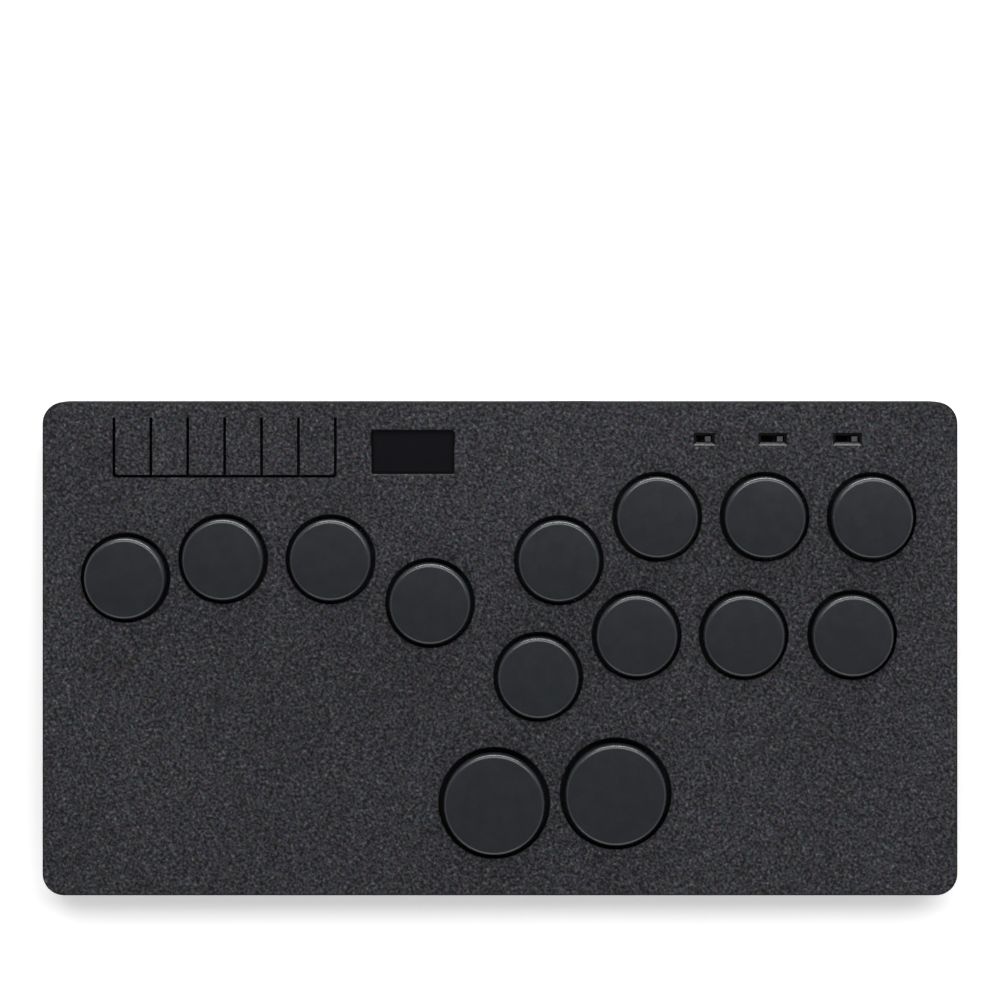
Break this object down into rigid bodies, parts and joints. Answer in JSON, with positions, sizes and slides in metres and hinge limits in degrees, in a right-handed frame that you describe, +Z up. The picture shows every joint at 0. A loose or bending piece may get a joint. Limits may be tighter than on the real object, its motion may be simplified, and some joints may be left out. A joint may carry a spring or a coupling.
{
  "type": "leverless arcade controller",
  "caption": "Slim leverless arcade control panel: round push buttons on key switches, flexing menu keys, small display and slide switches in a flat printed case.",
  "frame": {"origin": "on the table, under the middle of the case, at the bottom of the feet", "axes": "+X to the player's right, +Y to the rear edge (menu keys, display and cable socket), +Z up out of the button face"},
  "size_m": [0.254, 0.137, 0.0166],
  "materials": {
    "printed_case": "textured matte",
    "button_cap": "fine matte",
    "switch_stem": "satin",
    "switch_lid": "translucent smoky",
    "switch_base": "smoky",
    "switch_contact": "bright",
    "spring_steel": "bright drawn wire",
    "screw_steel": "black oxide",
    "insert_brass": "turned",
    "board_laminate": "solder mask",
    "chip_package": "moulded epoxy",
    "socket_shell": "plated",
    "display_panel": "polished",
    "holder_plastic": "moulded",
    "ribbon_film": "polyimide film",
    "tact_can": "stamped",
    "tact_button": "moulded",
    "slide_can": "blackened sheet metal",
    "slide_nub": "moulded",
    "foot_rubber": "matte"
  },
  "bodies": {
    "case": {"top_cover": "printed_case", "bottom_cover": "printed_case", "rubber_feet": "foot_rubber", "cover_screws": "screw_steel", "threaded_inserts": "insert_brass", "circuit_board": "board_laminate", "board_chips": "chip_package", "usb_socket": "socket_shell", "display_glass": "display_panel", "display_holder": "holder_plastic", "display_ribbon": "ribbon_film", "switch_bases": "switch_base", "switch_lids": "switch_lid", "switch_springs": "spring_steel", "switch_contacts": "switch_contact", "tact_switch_bodies": "tact_can", "slide_switch_bodies": "slide_can"},
    "button_direction_1": {"cap_direction_1": "button_cap", "stem_direction_1": "switch_stem"},
    "button_direction_2": {"cap_direction_2": "button_cap", "stem_direction_2": "switch_stem"},
    "button_direction_3": {"cap_direction_3": "button_cap", "stem_direction_3": "switch_stem"},
    "button_direction_4": {"cap_direction_4": "button_cap", "stem_direction_4": "switch_stem"},
    "button_action_1": {"cap_action_1": "button_cap", "stem_action_1": "switch_stem"},
    "button_action_2": {"cap_action_2": "button_cap", "stem_action_2": "switch_stem"},
    "button_action_3": {"cap_action_3": "button_cap", "stem_action_3": "switch_stem"},
    "button_action_4": {"cap_action_4": "button_cap", "stem_action_4": "switch_stem"},
    "button_action_5": {"cap_action_5": "button_cap", "stem_action_5": "switch_stem"},
    "button_action_6": {"cap_action_6": "button_cap", "stem_action_6": "switch_stem"},
    "button_action_7": {"cap_action_7": "button_cap", "stem_action_7": "switch_stem"},
    "button_action_8": {"cap_action_8": "button_cap", "stem_action_8": "switch_stem"},
    "button_thumb_1": {"cap_thumb_1": "button_cap", "stem_thumb_1": "switch_stem"},
    "button_thumb_2": {"cap_thumb_2": "button_cap", "stem_thumb_2": "switch_stem"},
    "menu_key_1": {"menu_key_1": "printed_case"},
    "tact_plunger_1": {"tact_plunger_1": "tact_button"},
    "menu_key_2": {"menu_key_2": "printed_case"},
    "tact_plunger_2": {"tact_plunger_2": "tact_button"},
    "menu_key_3": {"menu_key_3": "printed_case"},
    "tact_plunger_3": {"tact_plunger_3": "tact_button"},
    "menu_key_4": {"menu_key_4": "printed_case"},
    "tact_plunger_4": {"tact_plunger_4": "tact_button"},
    "menu_key_5": {"menu_key_5": "printed_case"},
    "tact_plunger_5": {"tact_plunger_5": "tact_button"},
    "menu_key_6": {"menu_key_6": "printed_case"},
    "tact_plunger_6": {"tact_plunger_6": "tact_button"},
    "slider_1": {"slider_1": "slide_nub"},
    "slider_2": {"slider_2": "slide_nub"},
    "slider_3": {"slider_3": "slide_nub"}
  },
  "joints": [
    {"name": "button_direction_1_press", "type": "slide", "parent": "case", "child": "button_direction_1", "axis": [0, 0, -1], "range_m": [0, 0.003], "stiffness_N_per_m": 100, "springref_m": -0.0035, "deforming": ["switch_springs"]},
    {"name": "button_direction_2_press", "type": "slide", "parent": "case", "child": "button_direction_2", "axis": [0, 0, -1], "range_m": [0, 0.003], "stiffness_N_per_m": 100, "springref_m": -0.0035, "deforming": ["switch_springs"]},
    {"name": "button_direction_3_press", "type": "slide", "parent": "case", "child": "button_direction_3", "axis": [0, 0, -1], "range_m": [0, 0.003], "stiffness_N_per_m": 100, "springref_m": -0.0035, "deforming": ["switch_springs"]},
    {"name": "button_direction_4_press", "type": "slide", "parent": "case", "child": "button_direction_4", "axis": [0, 0, -1], "range_m": [0, 0.003], "stiffness_N_per_m": 100, "springref_m": -0.0035, "deforming": ["switch_springs"]},
    {"name": "button_action_1_press", "type": "slide", "parent": "case", "child": "button_action_1", "axis": [0, 0, -1], "range_m": [0, 0.003], "stiffness_N_per_m": 100, "springref_m": -0.0035, "deforming": ["switch_springs"]},
    {"name": "button_action_2_press", "type": "slide", "parent": "case", "child": "button_action_2", "axis": [0, 0, -1], "range_m": [0, 0.003], "stiffness_N_per_m": 100, "springref_m": -0.0035, "deforming": ["switch_springs"]},
    {"name": "button_action_3_press", "type": "slide", "parent": "case", "child": "button_action_3", "axis": [0, 0, -1], "range_m": [0, 0.003], "stiffness_N_per_m": 100, "springref_m": -0.0035, "deforming": ["switch_springs"]},
    {"name": "button_action_4_press", "type": "slide", "parent": "case", "child": "button_action_4", "axis": [0, 0, -1], "range_m": [0, 0.003], "stiffness_N_per_m": 100, "springref_m": -0.0035, "deforming": ["switch_springs"]},
    {"name": "button_action_5_press", "type": "slide", "parent": "case", "child": "button_action_5", "axis": [0, 0, -1], "range_m": [0, 0.003], "stiffness_N_per_m": 100, "springref_m": -0.0035, "deforming": ["switch_springs"]},
    {"name": "button_action_6_press", "type": "slide", "parent": "case", "child": "button_action_6", "axis": [0, 0, -1], "range_m": [0, 0.003], "stiffness_N_per_m": 100, "springref_m": -0.0035, "deforming": ["switch_springs"]},
    {"name": "button_action_7_press", "type": "slide", "parent": "case", "child": "button_action_7", "axis": [0, 0, -1], "range_m": [0, 0.003], "stiffness_N_per_m": 100, "springref_m": -0.0035, "deforming": ["switch_springs"]},
    {"name": "button_action_8_press", "type": "slide", "parent": "case", "child": "button_action_8", "axis": [0, 0, -1], "range_m": [0, 0.003], "stiffness_N_per_m": 100, "springref_m": -0.0035, "deforming": ["switch_springs"]},
    {"name": "button_thumb_1_press", "type": "slide", "parent": "case", "child": "button_thumb_1", "axis": [0, 0, -1], "range_m": [0, 0.003], "stiffness_N_per_m": 100, "springref_m": -0.0035, "deforming": ["switch_springs"]},
    {"name": "button_thumb_2_press", "type": "slide", "parent": "case", "child": "button_thumb_2", "axis": [0, 0, -1], "range_m": [0, 0.003], "stiffness_N_per_m": 100, "springref_m": -0.0035, "deforming": ["switch_springs"]},
    {"name": "menu_key_1_flex", "type": "hinge", "parent": "case", "child": "menu_key_1", "pos_m": [-0.102, 0.0642, 0.0126], "axis": [1, 0, 0], "range_deg": [0, 1.1], "stiffness_Nm_per_rad": 1.1},
    {"name": "tact_plunger_1_press", "type": "slide", "parent": "case", "child": "tact_plunger_1", "axis": [0, 0, -1], "range_m": [0, 0.00025]},
    {"name": "menu_key_2_flex", "type": "hinge", "parent": "case", "child": "menu_key_2", "pos_m": [-0.09176, 0.0642, 0.0126], "axis": [1, 0, 0], "range_deg": [0, 1.1], "stiffness_Nm_per_rad": 1.1},
    {"name": "tact_plunger_2_press", "type": "slide", "parent": "case", "child": "tact_plunger_2", "axis": [0, 0, -1], "range_m": [0, 0.00025]},
    {"name": "menu_key_3_flex", "type": "hinge", "parent": "case", "child": "menu_key_3", "pos_m": [-0.08152, 0.0642, 0.0126], "axis": [1, 0, 0], "range_deg": [0, 1.1], "stiffness_Nm_per_rad": 1.1},
    {"name": "tact_plunger_3_press", "type": "slide", "parent": "case", "child": "tact_plunger_3", "axis": [0, 0, -1], "range_m": [0, 0.00025]},
    {"name": "menu_key_4_flex", "type": "hinge", "parent": "case", "child": "menu_key_4", "pos_m": [-0.07128, 0.0642, 0.0126], "axis": [1, 0, 0], "range_deg": [0, 1.1], "stiffness_Nm_per_rad": 1.1},
    {"name": "tact_plunger_4_press", "type": "slide", "parent": "case", "child": "tact_plunger_4", "axis": [0, 0, -1], "range_m": [0, 0.00025]},
    {"name": "menu_key_5_flex", "type": "hinge", "parent": "case", "child": "menu_key_5", "pos_m": [-0.06104, 0.0642, 0.0126], "axis": [1, 0, 0], "range_deg": [0, 1.1], "stiffness_Nm_per_rad": 1.1},
    {"name": "tact_plunger_5_press", "type": "slide", "parent": "case", "child": "tact_plunger_5", "axis": [0, 0, -1], "range_m": [0, 0.00025]},
    {"name": "menu_key_6_flex", "type": "hinge", "parent": "case", "child": "menu_key_6", "pos_m": [-0.0508, 0.0642, 0.0126], "axis": [1, 0, 0], "range_deg": [0, 1.1], "stiffness_Nm_per_rad": 1.1},
    {"name": "tact_plunger_6_press", "type": "slide", "parent": "case", "child": "tact_plunger_6", "axis": [0, 0, -1], "range_m": [0, 0.00025]},
    {"name": "slider_1_slide", "type": "slide", "parent": "case", "child": "slider_1", "axis": [1, 0, 0], "range_m": [-0.002, 0]},
    {"name": "slider_2_slide", "type": "slide", "parent": "case", "child": "slider_2", "axis": [1, 0, 0], "range_m": [-0.004, 0]},
    {"name": "slider_3_slide", "type": "slide", "parent": "case", "child": "slider_3", "axis": [1, 0, 0], "range_m": [-0.004, 0]}
  ],
  "couplings": [
    {"joint": "tact_plunger_1_press", "follows": "menu_key_1_flex", "m_per_rad": 0.0129},
    {"joint": "tact_plunger_2_press", "follows": "menu_key_2_flex", "m_per_rad": 0.0129},
    {"joint": "tact_plunger_3_press", "follows": "menu_key_3_flex", "m_per_rad": 0.0129},
    {"joint": "tact_plunger_4_press", "follows": "menu_key_4_flex", "m_per_rad": 0.0129},
    {"joint": "tact_plunger_5_press", "follows": "menu_key_5_flex", "m_per_rad": 0.0129},
    {"joint": "tact_plunger_6_press", "follows": "menu_key_6_flex", "m_per_rad": 0.0129}
  ]
}
